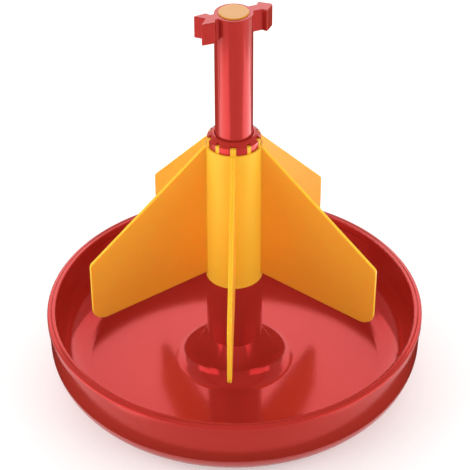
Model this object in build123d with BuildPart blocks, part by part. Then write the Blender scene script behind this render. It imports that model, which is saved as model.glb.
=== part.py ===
import os
from math import cos, radians, sin, sqrt, tan

from build123d import *

# Piglet feeder pan with a divider and a quarter-turn floor lock.
# Millimetres. Origin on the floor under the middle of the pan, +Z up.
# One wing of the divider points along -Y, towards the viewer.

# Bowl: one moulding with the column that stands in its middle
rim_diameter = 270.0
bowl_height = 53.3
floor_thickness = 3.5
bowl_wall = 3.2
base_corner_radius = 28.0
wall_draft = 0.5
lip_width = 6.0
lip_height = 5.8
lip_fall = 1.2
lip_overhang = 0.8
lip_edge_radius = 1.2
lip_groove_radius = 0.5

# Foot and column
column_diameter = 40.0
column_wall = 3.0
foot_diameter = 86.0
foot_radius = 16.0
foot_slope = 60.0
shoulder_height = 80.0
neck_diameter = 36.4
neck_wall = 2.8
crown_cone_width = 3.6
crown_cone_slope = 40.0
guide_length = 18.4
mouth_chamfer = 0.6

# Divider: hub, wings and the keys that sit in the crown
hub_length = 110.0
hub_draft = 0.3
hub_clearance = 0.15
wing_count = 5
wing_thickness = 3.0
wing_span = 103.9
wing_tip_drop = 22.3
wing_tip_height = 49.3
wing_root_rise = 5.75
wing_top_land = 1.2
wing_top_radius = 5.0
wing_bottom_radius = 8.0
wing_edge_radius = 0.8
joint_overlap = 0.5
key_width = 4.0
key_width_between = 3.0
key_depth = 2.3
key_length = 12.6
key_rise = 5.0
key_clearance = 0.12
notch_cut_past = 1.0

# Lock post with its T handle, an arrow seen from above
post_diameter = 25.6
post_wall = 3.6
post_end_wall = 6.0
post_exposed = 89.9
running_clearance = 0.1
handle_height = 15.0
handle_turn = 27.0
handle_edge_radius = 0.5
handle_corner_radius = 0.7
web_width = 7.8
head_root = 18.4
head_barb = 20.6
head_tip = 27.4
head_tip_width = 2.0
head_width = 14.0
tail_root = 14.6
tail_corner = 16.4
tail_tip = 26.0
tail_notch = 19.8
tail_width = 14.4

# Plug that closes the top of the post
plug_diameter = 20.1
plug_head = 3.0
plug_proud = 0.9
plug_skirt_length = 9.0
plug_skirt_wall = 1.6
plug_clearance = 0.1
plug_edge = 0.4

# Anchor bolt with its hammer head, the washers and the nut
bolt_diameter = 10.0
thread_diameter = 8.0
thread_clearance = 0.15
thread_end = 2.5
anchor_length = 44.0
anchor_width = 9.0
anchor_thickness = 6.0
anchor_ground_gap = 2.0
anchor_tooth = 1.5
stop_washer_diameter = 30.0
stop_washer_thickness = 2.5
stop_gap = 0.3
thrust_washer_diameter = 28.0
thrust_washer_thickness = 1.5
nut_across_flats = 13.0
nut_height = 6.5
nut_chamfer = 0.6
nut_washer_diameter = 16.0
nut_washer_thickness = 1.6

# Bush in the foot of the column and the return spring that stands on it
bush_bottom = 25.0
bush_length = 14.0
bush_fit = 0.05
bush_step = 0.8
spigot_height = 5.0
spigot_diameter = 13.6
spring_wire = 2.0
spring_clearance = 0.4
spring_turns = 12
spring_seat_gap = 0.05

# Places and radii worked out from the sizes above
rim_radius = rim_diameter / 2
lip_bottom = bowl_height - lip_height
lip_outer_top = bowl_height - lip_fall
wall_top_radius = rim_radius - lip_overhang
wall_base_radius = wall_top_radius - wall_draft
corner_centre = wall_base_radius - base_corner_radius
inner_corner_radius = base_corner_radius - bowl_wall
column_radius = column_diameter / 2
column_bore = column_radius - column_wall
foot_outer = foot_diameter / 2
neck_radius = neck_diameter / 2
neck_bore = neck_radius - neck_wall
hub_outer = column_radius
hub_inner = neck_radius + hub_clearance
hub_top = shoulder_height + hub_length
crown_edge = hub_top + key_rise
crown_top = crown_edge + crown_cone_width * tan(radians(crown_cone_slope))
guide_bottom = crown_top - guide_length
post_radius = post_diameter / 2
post_bore = post_radius - post_wall
guide_radius = post_radius + running_clearance
post_bottom = guide_bottom - stop_gap
post_top = crown_top + post_exposed
plug_top = post_top + plug_proud
plug_seat = plug_top - plug_head
end_wall_top = post_bottom + post_end_wall
thread_radius = thread_diameter / 2
bolt_radius = bolt_diameter / 2
bolt_hole = bolt_radius + running_clearance
washer_hole = thread_radius + thread_clearance
thrust_top = post_bottom - stop_washer_thickness
thrust_bottom = thrust_top - thrust_washer_thickness
nut_bottom = end_wall_top + nut_washer_thickness
anchor_top = anchor_ground_gap + anchor_thickness
bush_top = bush_bottom + bush_length
wing_angles = [-90 + 360 / wing_count * i for i in range(wing_count)]
between_angles = [angle + 180 / wing_count for angle in wing_angles]
diagonal = sqrt(0.5)


def foot_point(offset, slope):
    """Point of the foot's curve, set in by offset, at the place where it rises at slope degrees."""
    radius = foot_radius + offset
    rise = floor_thickness + foot_radius - radius * cos(radians(slope))
    return (foot_outer - radius * sin(radians(slope)), rise)


def cone_height(start, radius):
    """Height at which the foot's cone, from its start point, reaches a radius."""
    return start[1] + (start[0] - radius) * tan(radians(foot_slope))


# Bowl and column: the section of one moulding, turned about Z, with notches round its crown
foot_end = foot_point(0, foot_slope)
under_end = foot_point(floor_thickness, foot_slope)
notch_depth = key_depth + key_clearance
notch_bottom = crown_edge - key_length - key_clearance

with BuildPart() as pan:
    with BuildSketch(Plane.XZ) as pan_section:
        with BuildLine():
            # Column, from the mouth of the post's guide down to the foot
            Polyline(
                (guide_radius, guide_bottom),
                (guide_radius, crown_top - mouth_chamfer),
                (guide_radius + mouth_chamfer, crown_top),
                (neck_radius - crown_cone_width, crown_top),
                (neck_radius, crown_edge),
                (neck_radius, shoulder_height),
                (column_radius, shoulder_height),
                (column_radius, cone_height(foot_end, column_radius)),
                foot_end,
            )
            # Foot, floor and the round corner up to the wall
            ThreePointArc(foot_end, foot_point(0, foot_slope / 2), (foot_outer, floor_thickness))
            Line((foot_outer, floor_thickness), (corner_centre, floor_thickness))
            inner_rise = (corner_centre + inner_corner_radius, floor_thickness + inner_corner_radius)
            inner_middle = (
                corner_centre + inner_corner_radius * diagonal,
                floor_thickness + inner_corner_radius * (1 - diagonal),
            )
            ThreePointArc((corner_centre, floor_thickness), inner_middle, inner_rise)
            # Wall and lip
            Polyline(
                inner_rise,
                (wall_top_radius - bowl_wall, lip_bottom - lip_height / 2),
                (rim_radius - lip_width, lip_bottom),
                (rim_radius - lip_width, bowl_height),
                (rim_radius, lip_outer_top),
                (rim_radius, lip_bottom),
                (wall_top_radius, lip_bottom),
                (wall_base_radius, base_corner_radius),
            )
            outer_middle = (
                corner_centre + base_corner_radius * diagonal,
                base_corner_radius * (1 - diagonal),
            )
            ThreePointArc((wall_base_radius, base_corner_radius), outer_middle, (corner_centre, 0))
            # Underside of the floor, the hollow foot and the bores of the column
            Line((corner_centre, 0), (foot_outer, 0))
            ThreePointArc((foot_outer, 0), foot_point(floor_thickness, foot_slope / 2), under_end)
            Polyline(
                under_end,
                (column_bore, cone_height(under_end, column_bore)),
                (column_bore, bush_top),
                (column_bore - bush_step, bush_top),
                (column_bore - bush_step, shoulder_height - column_wall),
                (neck_bore, shoulder_height),
                (neck_bore, guide_bottom),
                (guide_radius, guide_bottom),
            )
        make_face()
        bowl_corners = pan_section.vertices().filter_by_position(Axis.X, corner_centre, rim_diameter)
        fillet(bowl_corners.sort_by(Axis.Y)[-2:], radius=lip_edge_radius)
        with Locations((rim_radius - lip_width / 2, bowl_height - lip_fall / 2)):
            Circle(lip_groove_radius, mode=Mode.SUBTRACT)
    revolve(axis=Axis.Z)
    for angles, width in ((wing_angles, key_width), (between_angles, key_width_between)):
        for angle in angles:
            with BuildSketch(Plane.XY.offset(notch_bottom).rotated((0, 0, angle))):
                with Locations((neck_radius, 0)):
                    Rectangle(2 * notch_depth, width + 2 * key_clearance)
            extrude(amount=crown_top - notch_bottom + notch_cut_past, mode=Mode.SUBTRACT)
pan.part.label = "pan"

# Wing: one flat blade of the divider, drawn in its own plane and thickened both ways
wing_root = hub_inner + joint_overlap
wing_tip_bottom = shoulder_height - wing_tip_drop

with BuildPart() as wing:
    with BuildSketch(Plane.XZ) as wing_outline:
        with BuildLine():
            Polyline(
                (wing_root, shoulder_height + wing_root_rise),
                (wing_span, wing_tip_bottom),
                (wing_span, wing_tip_bottom + wing_tip_height),
                (hub_outer - hub_draft + wing_top_land, hub_top),
                (wing_root, hub_top),
                close=True,
            )
        make_face()
        tip_corners = wing_outline.vertices().group_by(Axis.X)[-1].sort_by(Axis.Y)
        fillet(tip_corners[0], radius=wing_bottom_radius)
        tip_corners = wing_outline.vertices().group_by(Axis.X)[-1].sort_by(Axis.Y)
        fillet(tip_corners[-1], radius=wing_top_radius)
    extrude(amount=wing_thickness / 2, both=True)
    outer_edges = wing.faces().filter_by(Axis.Y).edges().filter_by(
        lambda e: e.center().X > wing_root + joint_overlap and e.center().Z < hub_top - wing_edge_radius
    )
    fillet(outer_edges, radius=wing_edge_radius)

# Divider: the hub slides over the neck, stands on the shoulder and is keyed to the crown
with BuildPart() as divider:
    with BuildSketch(Plane.XZ):
        with BuildLine():
            Polyline(
                (hub_inner, shoulder_height),
                (hub_outer, shoulder_height),
                (hub_outer - hub_draft, hub_top),
                (hub_inner, hub_top),
                close=True,
            )
        make_face()
    revolve(axis=Axis.Z)
    with PolarLocations(0, wing_count, start_angle=-90):
        add(wing.part)
    key_bottom = crown_edge - key_length
    key_inner = neck_radius - key_depth
    for angles, width in ((wing_angles, key_width), (between_angles, key_width_between)):
        for angle in angles:
            for low, high, outer in ((key_bottom, hub_top, wing_root), (hub_top, crown_edge, neck_radius)):
                with BuildSketch(Plane.XY.offset(low).rotated((0, 0, angle))):
                    with Locations(((key_inner + outer) / 2, 0)):
                        Rectangle(outer - key_inner, width)
                extrude(amount=high - low)
divider.part.label = "divider"

# Lock post: a tube with a closed lower end and a T handle that is an arrow seen from above
with BuildPart() as lock_post:
    with BuildSketch(Plane.XY.offset(post_top - handle_height).rotated((0, 0, handle_turn))) as arrow:
        with BuildLine():
            side = [
                (head_tip, head_tip_width / 2),
                (head_barb, head_width / 2),
                (head_root, web_width / 2),
                (-tail_root, web_width / 2),
                (-tail_corner, tail_width / 2),
                (-tail_tip, tail_width / 2 - handle_corner_radius),
            ]
            mirrored = [(x, -y) for x, y in reversed(side)]
            Polyline(*side, (-tail_notch, 0), *mirrored, close=True)
        make_face()
        fillet(arrow.vertices(), radius=handle_corner_radius)
    extrude(amount=handle_height)
    with BuildSketch(Plane.XY.offset(post_bottom)):
        Circle(post_radius)
    extrude(amount=post_top - post_bottom)
    rim_edges = lock_post.faces().sort_by(Axis.Z)[-1].edges()
    fillet(rim_edges, radius=handle_edge_radius)
    with BuildSketch(Plane.XY.offset(end_wall_top)):
        Circle(post_bore)
    extrude(amount=post_top - end_wall_top, mode=Mode.SUBTRACT)
    with BuildSketch(Plane.XY.offset(plug_seat)):
        Circle(plug_diameter / 2 + plug_clearance)
    extrude(amount=post_top - plug_seat, mode=Mode.SUBTRACT)
    with BuildSketch(Plane.XY.offset(post_bottom)):
        Circle(washer_hole)
    extrude(amount=post_end_wall, mode=Mode.SUBTRACT)
lock_post.part.label = "lock_post"

# Plug: a head that stands a little proud, on a skirt that grips the bore of the post
with BuildPart() as post_plug:
    with BuildSketch(Plane.XY.offset(plug_seat)):
        Circle(plug_diameter / 2)
    extrude(amount=plug_head)
    chamfer(post_plug.faces().sort_by(Axis.Z)[-1].edges(), length=plug_edge)
    with BuildSketch(Plane.XY.offset(plug_seat)):
        Circle(post_bore - plug_clearance)
        Circle(post_bore - plug_clearance - plug_skirt_wall, mode=Mode.SUBTRACT)
    extrude(amount=-plug_skirt_length)
post_plug.part.label = "post_plug"

# Anchor bolt: a round rod with a hammer head below and a thread for the nut above
with BuildPart() as anchor_bolt:
    with BuildSketch(Plane.XY.offset(anchor_ground_gap).rotated((0, 0, handle_turn))):
        SlotOverall(anchor_length, anchor_width)
    extrude(amount=anchor_thickness)
    with BuildSketch(Plane.XY.offset(anchor_top).rotated((0, 0, handle_turn))):
        for side_sign in (-1, 1):
            with Locations((side_sign * (anchor_length - anchor_width) / 2, 0)):
                Rectangle(anchor_tooth, anchor_width * diagonal)
    extrude(amount=anchor_tooth)
    with BuildSketch(Plane.XY.offset(anchor_top - anchor_thickness / 2)):
        Circle(bolt_radius)
    extrude(amount=thrust_top - anchor_top + anchor_thickness / 2)
    with BuildSketch(Plane.XY.offset(thrust_top)):
        Circle(thread_radius)
    extrude(amount=nut_bottom + nut_height + thread_end - thrust_top)
    chamfer(anchor_bolt.faces().sort_by(Axis.Z)[-1].edges(), length=nut_chamfer)
anchor_bolt.part.label = "anchor_bolt"

# Stop washer: clamped under the post, wider than the post's guide, so it limits the lift
with BuildPart() as stop_washer:
    with BuildSketch(Plane.XY.offset(thrust_top)):
        Circle(stop_washer_diameter / 2)
        Circle(washer_hole, mode=Mode.SUBTRACT)
    extrude(amount=stop_washer_thickness)
stop_washer.part.label = "stop_washer"

# Thrust washer: the spring pushes it up, and the post turns on it
with BuildPart() as thrust_washer:
    with BuildSketch(Plane.XY.offset(thrust_bottom)):
        Circle(thrust_washer_diameter / 2)
        Circle(bolt_hole, mode=Mode.SUBTRACT)
    extrude(amount=thrust_washer_thickness)
thrust_washer.part.label = "thrust_washer"

# Nut and its washer, inside the post on the floor of its bore
with BuildPart() as nut_washer:
    with BuildSketch(Plane.XY.offset(end_wall_top)):
        Circle(nut_washer_diameter / 2)
        Circle(washer_hole, mode=Mode.SUBTRACT)
    extrude(amount=nut_washer_thickness)
nut_washer.part.label = "nut_washer"

with BuildPart() as lock_nut:
    with BuildSketch(Plane.XY.offset(nut_bottom)):
        RegularPolygon(nut_across_flats / 2, 6, major_radius=False)
    extrude(amount=nut_height)
    # Rounded corners of the hexagon: what a cone leaves of it at each end
    with BuildSketch(Plane.XZ):
        with BuildLine():
            corner = nut_across_flats / sqrt(3)
            Polyline(
                (0, nut_bottom),
                (corner - nut_chamfer, nut_bottom),
                (corner, nut_bottom + nut_chamfer),
                (corner, nut_bottom + nut_height - nut_chamfer),
                (corner - nut_chamfer, nut_bottom + nut_height),
                (0, nut_bottom + nut_height),
                close=True,
            )
        make_face()
    revolve(axis=Axis.Z, mode=Mode.INTERSECT)
    with BuildSketch(Plane.XY.offset(nut_bottom)):
        Circle(thread_radius)
    extrude(amount=nut_height, mode=Mode.SUBTRACT)
lock_nut.part.label = "lock_nut"

# Base bush: closes the foot of the column, guides the bolt and carries the spring
with BuildPart() as base_bush:
    with BuildSketch(Plane.XY.offset(bush_bottom)):
        Circle(column_bore - bush_fit)
    extrude(amount=bush_length)
    with BuildSketch(Plane.XY.offset(bush_top)):
        Circle(spigot_diameter / 2)
    extrude(amount=spigot_height)
    with BuildSketch(Plane.XY.offset(bush_bottom)):
        Circle(bolt_hole)
    extrude(amount=bush_length + spigot_height, mode=Mode.SUBTRACT)
base_bush.part.label = "base_bush"

# Return spring: round wire wound between the bush and the thrust washer
spring_radius = (spigot_diameter + spring_wire) / 2 + spring_clearance
spring_low = bush_top + spring_wire / 2 + spring_seat_gap
spring_high = thrust_bottom - spring_wire / 2 - spring_seat_gap
with BuildPart() as return_spring:
    with BuildLine():
        coil = Helix(
            pitch=(spring_high - spring_low) / spring_turns,
            height=spring_high - spring_low,
            radius=spring_radius,
            center=(0, 0, spring_low),
        )
    with BuildSketch(Plane(origin=coil @ 0, z_dir=coil % 0)):
        Circle(spring_wire / 2)
    sweep(path=coil, is_frenet=True)
return_spring.part.label = "return_spring"

os.makedirs("parts", exist_ok=True)
export_step(pan.part, "parts/pan.step")
export_step(divider.part, "parts/divider.step")
export_step(lock_post.part, "parts/lock_post.step")
export_step(post_plug.part, "parts/post_plug.step")
export_step(anchor_bolt.part, "parts/anchor_bolt.step")
export_step(stop_washer.part, "parts/stop_washer.step")
export_step(thrust_washer.part, "parts/thrust_washer.step")
export_step(nut_washer.part, "parts/nut_washer.step")
export_step(lock_nut.part, "parts/lock_nut.step")
export_step(base_bush.part, "parts/base_bush.step")
export_step(return_spring.part, "parts/return_spring.step")
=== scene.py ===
from math import cos, pi, radians, sin

import bpy
import numpy as np
from mathutils import Matrix, Vector

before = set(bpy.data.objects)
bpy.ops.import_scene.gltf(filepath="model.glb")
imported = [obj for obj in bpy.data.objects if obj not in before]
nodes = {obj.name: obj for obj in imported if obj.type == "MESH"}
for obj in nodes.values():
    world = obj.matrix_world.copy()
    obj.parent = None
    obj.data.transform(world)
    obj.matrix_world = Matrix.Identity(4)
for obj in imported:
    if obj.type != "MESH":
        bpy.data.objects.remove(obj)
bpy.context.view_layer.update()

# Bowl with its column
# The red bowl, its foot and the column with the notched crown are one injection moulding of polypropylene.
# The mould is polished, so the skin is glossy, with a faint orange peel and slightly uneven gloss.
PAN_RED = "#B2342A"
PAN_RED_DEEP = "#AB3026"
PAN_SHEEN = "#FF3A40"
ORANGE_PEEL_SIZE = 0.0045
ORANGE_PEEL_DEPTH = 0.00003
FLOW_SIZE = 0.05


def linear(hex_colour):
    """Linear RGBA of an sRGB hex value: each channel is scaled to 0..1 and its display curve is undone."""
    channels = np.array([int(hex_colour[i:i + 2], 16) for i in (1, 3, 5)]) / 255
    straight = channels / 12.92
    curved = ((channels + 0.055) / 1.055) ** 2.4
    return (*np.where(channels <= 0.04045, straight, curved).tolist(), 1.0)


def add_node(tree, kind, inputs, **settings):
    """Adds a node with its settings. An input that is given a socket is linked to it, any other is set."""
    node = tree.nodes.new(kind)
    for name, value in settings.items():
        setattr(node, name, value)
    for name, value in inputs.items():
        if isinstance(value, bpy.types.NodeSocket):
            tree.links.new(value, node.inputs[name])
        else:
            node.inputs[name].default_value = value
    return node


def moulded_plastic(name, colour, deep_colour, sheen, roughness, gloss, ior=1.5):
    """Polypropylene from a polished mould: two near shades that drift as the melt flowed, and orange peel.

    The skin's reflection takes on some of the pigment's colour, the sheen.
    """
    material = bpy.data.materials.new(name)
    material.use_nodes = True
    tree = material.node_tree
    tree.nodes.clear()
    place = add_node(tree, "ShaderNodeTexCoord", {}).outputs["Object"]
    flow = add_node(tree, "ShaderNodeTexNoise", {"Vector": place, "Scale": 1 / FLOW_SIZE, "Detail": 3.0})
    shade = add_node(
        tree, "ShaderNodeMix",
        {"Factor": flow.outputs["Fac"], "A": linear(colour), "B": linear(deep_colour)}, data_type="RGBA",
    )
    gloss_map = add_node(
        tree, "ShaderNodeMapRange",
        {"Value": flow.outputs["Fac"], "To Min": roughness * 0.85, "To Max": roughness * 1.15},
    )
    peel = add_node(
        tree, "ShaderNodeTexNoise", {"Vector": place, "Scale": 1 / ORANGE_PEEL_SIZE, "Detail": 2.0},
    )
    bump = add_node(
        tree, "ShaderNodeBump", {"Height": peel.outputs["Fac"], "Strength": 1.0, "Distance": ORANGE_PEEL_DEPTH},
    )
    surface = add_node(
        tree, "ShaderNodeBsdfPrincipled",
        {
            "Base Color": shade.outputs["Result"],
            "Roughness": gloss_map.outputs["Result"],
            "IOR": ior,
            "Specular IOR Level": gloss,
            "Specular Tint": linear(sheen),
            "Subsurface Scale": 0.006,
            "Subsurface Radius": (1.0, 0.3, 0.1),
            "Normal": bump.outputs["Normal"],
        },
    )
    add_node(tree, "ShaderNodeOutputMaterial", {"Surface": surface.outputs["BSDF"]})
    return material


pan_plastic = moulded_plastic(
    "polished_red_polypropylene", PAN_RED, PAN_RED_DEEP, PAN_SHEEN, 0.13, 1.0, ior=1.7,
)
nodes["pan"].material_slots[0].material = pan_plastic

# Bush in the foot of the column
# A turned disc of the same red polypropylene with a spigot for the spring, welded into the bore.
nodes["base_bush"].material_slots[0].material = pan_plastic

# Return spring
# Cold-wound round wire of stainless spring steel, with fine draw lines and a dull, even shine.
SPRING_GREY = "#A3A5A8"


def steel(name, colour, roughness, spread, grain_size):
    """Bare or plated steel: one tone whose roughness is broken up by a fine grain."""
    material = bpy.data.materials.new(name)
    material.use_nodes = True
    tree = material.node_tree
    tree.nodes.clear()
    place = add_node(tree, "ShaderNodeTexCoord", {}).outputs["Object"]
    grain = add_node(tree, "ShaderNodeTexNoise", {"Vector": place, "Scale": 1 / grain_size, "Detail": 4.0})
    shine = add_node(
        tree, "ShaderNodeMapRange",
        {"Value": grain.outputs["Fac"], "To Min": roughness - spread, "To Max": roughness + spread},
    )
    surface = add_node(
        tree, "ShaderNodeBsdfPrincipled",
        {"Base Color": linear(colour), "Metallic": 1.0, "Roughness": shine.outputs["Result"]},
    )
    add_node(tree, "ShaderNodeOutputMaterial", {"Surface": surface.outputs["BSDF"]})
    return material


nodes["return_spring"].material_slots[0].material = steel("drawn_spring_steel", SPRING_GREY, 0.3, 0.08, 0.0006)

# Anchor bolt, washers and nut
# Forged and stamped steel with bright zinc plate, bluish and slightly cloudy.
ZINC = "#C9CDD0"
zinc_plate = steel("bright_zinc_plate", ZINC, 0.28, 0.1, 0.003)
for name in ("anchor_bolt", "stop_washer", "thrust_washer", "nut_washer", "lock_nut"):
    nodes[name].material_slots[0].material = zinc_plate

# Divider
# The hub, its five wings and the ten keys are one moulding of yellow polypropylene, pushed over the column.
# The skin is a little softer than the bowl's, and light bleeds through the thin wings and their edges. The flat
# faces of the wings carry painted shade, a deeper orange.
DIVIDER_YELLOW = "#FFC83E"
DIVIDER_YELLOW_DEEP = "#FDC238"
DIVIDER_SHEEN = "#FFB840"
HUB_RADIUS = 0.0205
# painted shade: the deeper orange that the flat faces of the wings are painted with
WING_FACE_PAINTED_SHADE = "#FFB43E"
WING_GLOW = 0.7
divider_plastic = moulded_plastic(
    "yellow_polypropylene", DIVIDER_YELLOW, DIVIDER_YELLOW_DEEP, DIVIDER_SHEEN, 0.35, 0.3,
)
tree = divider_plastic.node_tree
spot = add_node(tree, "ShaderNodeTexCoord", {})
place, normal = spot.outputs["Object"], spot.outputs["Normal"]
flat = add_node(tree, "ShaderNodeVectorMath", {0: place, 1: (1.0, 1.0, 0.0)}, operation="MULTIPLY").outputs["Vector"]
radius = add_node(tree, "ShaderNodeVectorMath", {0: flat}, operation="LENGTH").outputs["Value"]
in_wing = add_node(tree, "ShaderNodeMath", {0: radius, 1: HUB_RADIUS}, operation="GREATER_THAN").outputs["Value"]
# A face of a wing looks square to both the radius and the axis; its edges don't, and shine a clearer yellow. The
# faces are painted a deeper orange: painted shade standing in for the dimmer light on the thin wings.
out = add_node(tree, "ShaderNodeVectorMath", {0: flat}, operation="NORMALIZE").outputs["Vector"]
facing = add_node(tree, "ShaderNodeVectorMath", {0: normal, 1: out}, operation="CROSS_PRODUCT").outputs["Vector"]
across = add_node(tree, "ShaderNodeSeparateXYZ", {"Vector": facing}).outputs["Z"]
wing_glow = add_node(tree, "ShaderNodeMath", {0: in_wing, 1: WING_GLOW}, operation="MULTIPLY").outputs["Value"]
surface = tree.nodes["Principled BSDF"]
tree.links.new(wing_glow, surface.inputs["Subsurface Weight"])
across = add_node(tree, "ShaderNodeMath", {0: across}, operation="ABSOLUTE").outputs["Value"]
on_face = add_node(
    tree, "ShaderNodeMapRange", {"Value": across, "From Min": 0.75, "From Max": 0.97},
).outputs["Result"]
# painted shade mask: the faces of the wings only, not their edges or the hub
painted_shade_mask = add_node(tree, "ShaderNodeMath", {0: in_wing, 1: on_face}, operation="MULTIPLY").outputs["Value"]
painted_shade_mix = add_node(
    tree, "ShaderNodeMix",
    {"Factor": painted_shade_mask, "A": surface.inputs["Base Color"].links[0].from_socket, "B": linear(WING_FACE_PAINTED_SHADE)},
    data_type="RGBA",
)
tree.links.new(painted_shade_mix.outputs["Result"], surface.inputs["Base Color"])
nodes["divider"].material_slots[0].material = divider_plastic

# Lock post
# Tube and T handle are one moulding of the bowl's red, from a mould polished to a harder shine.
POST_SHEEN = "#FF4850"
post_plastic = moulded_plastic(
    "red_polypropylene_handle", PAN_RED, PAN_RED_DEEP, POST_SHEEN, 0.14, 1.0, ior=1.6,
)
nodes["lock_post"].material_slots[0].material = post_plastic

# Plug in the top of the post
# A snap-in yellow polypropylene disc that stands a little proud of the handle.
PLUG_ORANGE = "#E89E30"
PLUG_ORANGE_DEEP = "#E4982C"
PLUG_SHEEN = "#FFFFFF"
nodes["post_plug"].material_slots[0].material = moulded_plastic(
    "yellow_polypropylene_plug", PLUG_ORANGE, PLUG_ORANGE_DEEP, PLUG_SHEEN, 0.2, 0.4,
)

# Studio: table, lamps and camera
# A pale table under soft light from behind and from both sides, with the camera where the photograph was taken.
TABLE_SIZE = 8.0
TABLE_WHITE = "#E4E4E3"
TABLE_GLOW = 0.35
AMBIENT = 0.62


def seen_rays(tree):
    """1 for rays from the camera, in a mirror or through glass, and 0 for rays that carry light."""
    path = add_node(tree, "ShaderNodeLightPath", {})
    mirrored = add_node(
        tree, "ShaderNodeMath",
        {0: path.outputs["Is Camera Ray"], 1: path.outputs["Is Glossy Ray"]}, operation="MAXIMUM",
    )
    seen = add_node(
        tree, "ShaderNodeMath",
        {0: mirrored.outputs["Value"], 1: path.outputs["Is Transmission Ray"]}, operation="MAXIMUM",
    )
    return seen.outputs["Value"]


corners = TABLE_SIZE / 2 * np.array([(-1, -1, 0), (1, -1, 0), (1, 1, 0), (-1, 1, 0)], float)
table_mesh = bpy.data.meshes.new("table")
table_mesh.from_pydata(corners.tolist(), [], [(0, 1, 2, 3)])
table = bpy.data.objects.new("table", table_mesh)
bpy.context.scene.collection.objects.link(table)
table_paint = bpy.data.materials.new("matt_white_table")
table_paint.use_nodes = True
tree = table_paint.node_tree
tree.nodes.clear()
matt = add_node(tree, "ShaderNodeBsdfDiffuse", {"Color": linear(TABLE_WHITE)})
glow_strength = add_node(
    tree, "ShaderNodeMath", {0: seen_rays(tree), 1: TABLE_GLOW}, operation="MULTIPLY",
)
lit = add_node(tree, "ShaderNodeEmission", {"Strength": glow_strength.outputs["Value"]})
both = add_node(tree, "ShaderNodeAddShader", {0: matt.outputs["BSDF"], 1: lit.outputs["Emission"]})
add_node(tree, "ShaderNodeOutputMaterial", {"Surface": both.outputs["Shader"]})
table_mesh.materials.append(table_paint)

# A black card flat on the table, wide behind the pan and a narrow ring round it: painted shade that only reflections
# show. The camera doesn't see it and it takes no light away: it darkens the table that the pan, post and hub mirror
# near and behind the pan, and keeps the lower edge of the pan and the outlines of the post and hub dark.
# painted shade: the dark of the card, seen only in reflections
SHADE_CARD_BLACK = "#1C1414"
CARD_INNER, CARD_RING, CARD_BACK = 0.137, 0.162, 0.6
CARD_BACK_FROM, CARD_BACK_TO = radians(38), radians(165)
turns = np.linspace(-pi, pi, 181)
outer = np.where((turns > CARD_BACK_FROM) & (turns < CARD_BACK_TO), CARD_BACK, CARD_RING)
rings = np.stack([np.full_like(turns, CARD_INNER), outer])
card_points = np.stack([rings * np.cos(turns), rings * np.sin(turns), np.full_like(rings, 0.001)], axis=-1)
card_faces = [(i, i + 181, i + 182, i + 1) for i in range(180)]
shade_card_mesh = bpy.data.meshes.new("painted_shade_card")
shade_card_mesh.from_pydata(card_points.reshape(-1, 3).tolist(), [], card_faces)
shade_card = bpy.data.objects.new("painted_shade_card", shade_card_mesh)
bpy.context.scene.collection.objects.link(shade_card)
shade_card.visible_camera = False
shade_card.visible_diffuse = False
shade_card.visible_shadow = False
shade_card_paint = bpy.data.materials.new("matt_painted_shade_card")
shade_card_paint.use_nodes = True
tree = shade_card_paint.node_tree
tree.nodes.clear()
matt = add_node(tree, "ShaderNodeBsdfDiffuse", {"Color": linear(SHADE_CARD_BLACK)})
add_node(tree, "ShaderNodeOutputMaterial", {"Surface": matt.outputs["BSDF"]})
shade_card_mesh.materials.append(shade_card_paint)

world = bpy.data.worlds.new("studio")
world.use_nodes = True
bpy.context.scene.world = world
tree = world.node_tree
tree.nodes.clear()
strength = add_node(
    tree, "ShaderNodeMapRange", {"Value": seen_rays(tree), "To Min": AMBIENT, "To Max": 1.0},
)
sky = add_node(tree, "ShaderNodeBackground", {"Strength": strength.outputs["Result"]})
add_node(tree, "ShaderNodeOutputWorld", {"Surface": sky.outputs["Background"]})


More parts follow.
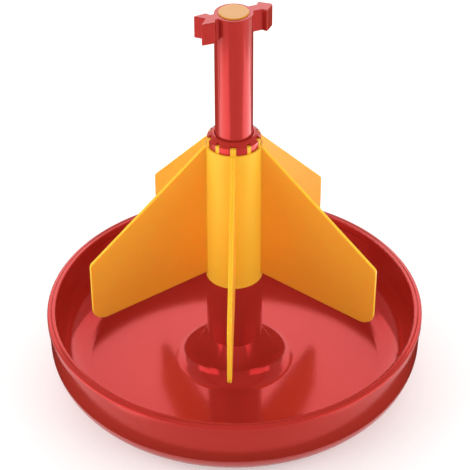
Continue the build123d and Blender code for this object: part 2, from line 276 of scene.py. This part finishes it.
def panel(name, place, towards, size, radiance, turn=0.0, mirrored_only=False):
    """Square-cornered soft light: its power is radiance times pi times area, and it faces a point."""
    data = bpy.data.lights.new(name, "AREA")
    data.shape = "RECTANGLE"
    data.size, data.size_y = size
    data.energy = radiance * pi * size[0] * size[1]
    lamp = bpy.data.objects.new(name, data)
    bpy.context.scene.collection.objects.link(lamp)
    aim = (Vector(towards) - Vector(place)).to_track_quat("-Z", "Y")
    lamp.matrix_world = Matrix.Translation(place) @ aim.to_matrix().to_4x4() @ Matrix.Rotation(turn, 4, "Z")
    lamp.visible_camera = False
    lamp.visible_diffuse = not mirrored_only


panel("back_panel", (0.0, 0.8, 0.58), (0.0, 0.0, 0.05), (1.4, 0.5), 2.0)
panel("left_panel", (-0.95, -0.35, 0.45), (0.0, 0.0, 0.12), (1.0, 0.8), 3.0)
panel("right_panel", (0.95, -0.35, 0.45), (0.0, 0.0, 0.12), (1.0, 0.8), 2.6)
for name, azimuth, distance, size, radiance in (
    ("near_left", -134, 0.215, (0.07, 0.19), 1.8),
    ("near_right", -38, 0.215, (0.07, 0.19), 1.5),
    ("far_left", -146, 0.36, (0.2, 0.4), 3.0),
    ("far_right", -2, 0.36, (0.2, 0.4), 3.0),
):
    out = Vector((cos(radians(azimuth)), sin(radians(azimuth)), 0.0))
    middle = out * distance
    panel(name, (middle.x, middle.y, 0.002), (middle.x, middle.y, 1.0), size, radiance, -radians(azimuth), True)

CAMERA_AIM = Vector((0.00048, 0.00002, 0.11224))
CAMERA_DISTANCE = 1.1795
CAMERA_AZIMUTH = radians(1.93)
CAMERA_ELEVATION = radians(35.717)
CAMERA_ROLL = radians(-0.167)
CAMERA_LENS = 128.70

level = cos(CAMERA_ELEVATION)
back = Vector((sin(CAMERA_AZIMUTH) * level, -cos(CAMERA_AZIMUTH) * level, sin(CAMERA_ELEVATION)))
right = Vector((cos(CAMERA_AZIMUTH), sin(CAMERA_AZIMUTH), 0.0))
up = back.cross(right)
rolled_right = right * cos(CAMERA_ROLL) + up * sin(CAMERA_ROLL)
rolled_up = up * cos(CAMERA_ROLL) - right * sin(CAMERA_ROLL)
lens = bpy.data.cameras.new("camera")
lens.lens = CAMERA_LENS
lens.sensor_width = 36.0
lens.clip_start = 0.01
camera = bpy.data.objects.new("camera", lens)
bpy.context.scene.collection.objects.link(camera)
turned = Matrix((rolled_right, rolled_up, back)).transposed().to_4x4()
camera.matrix_world = Matrix.Translation(CAMERA_AIM + back * CAMERA_DISTANCE) @ turned
bpy.context.scene.camera = camera
bpy.context.scene.view_settings.view_transform = "Standard"
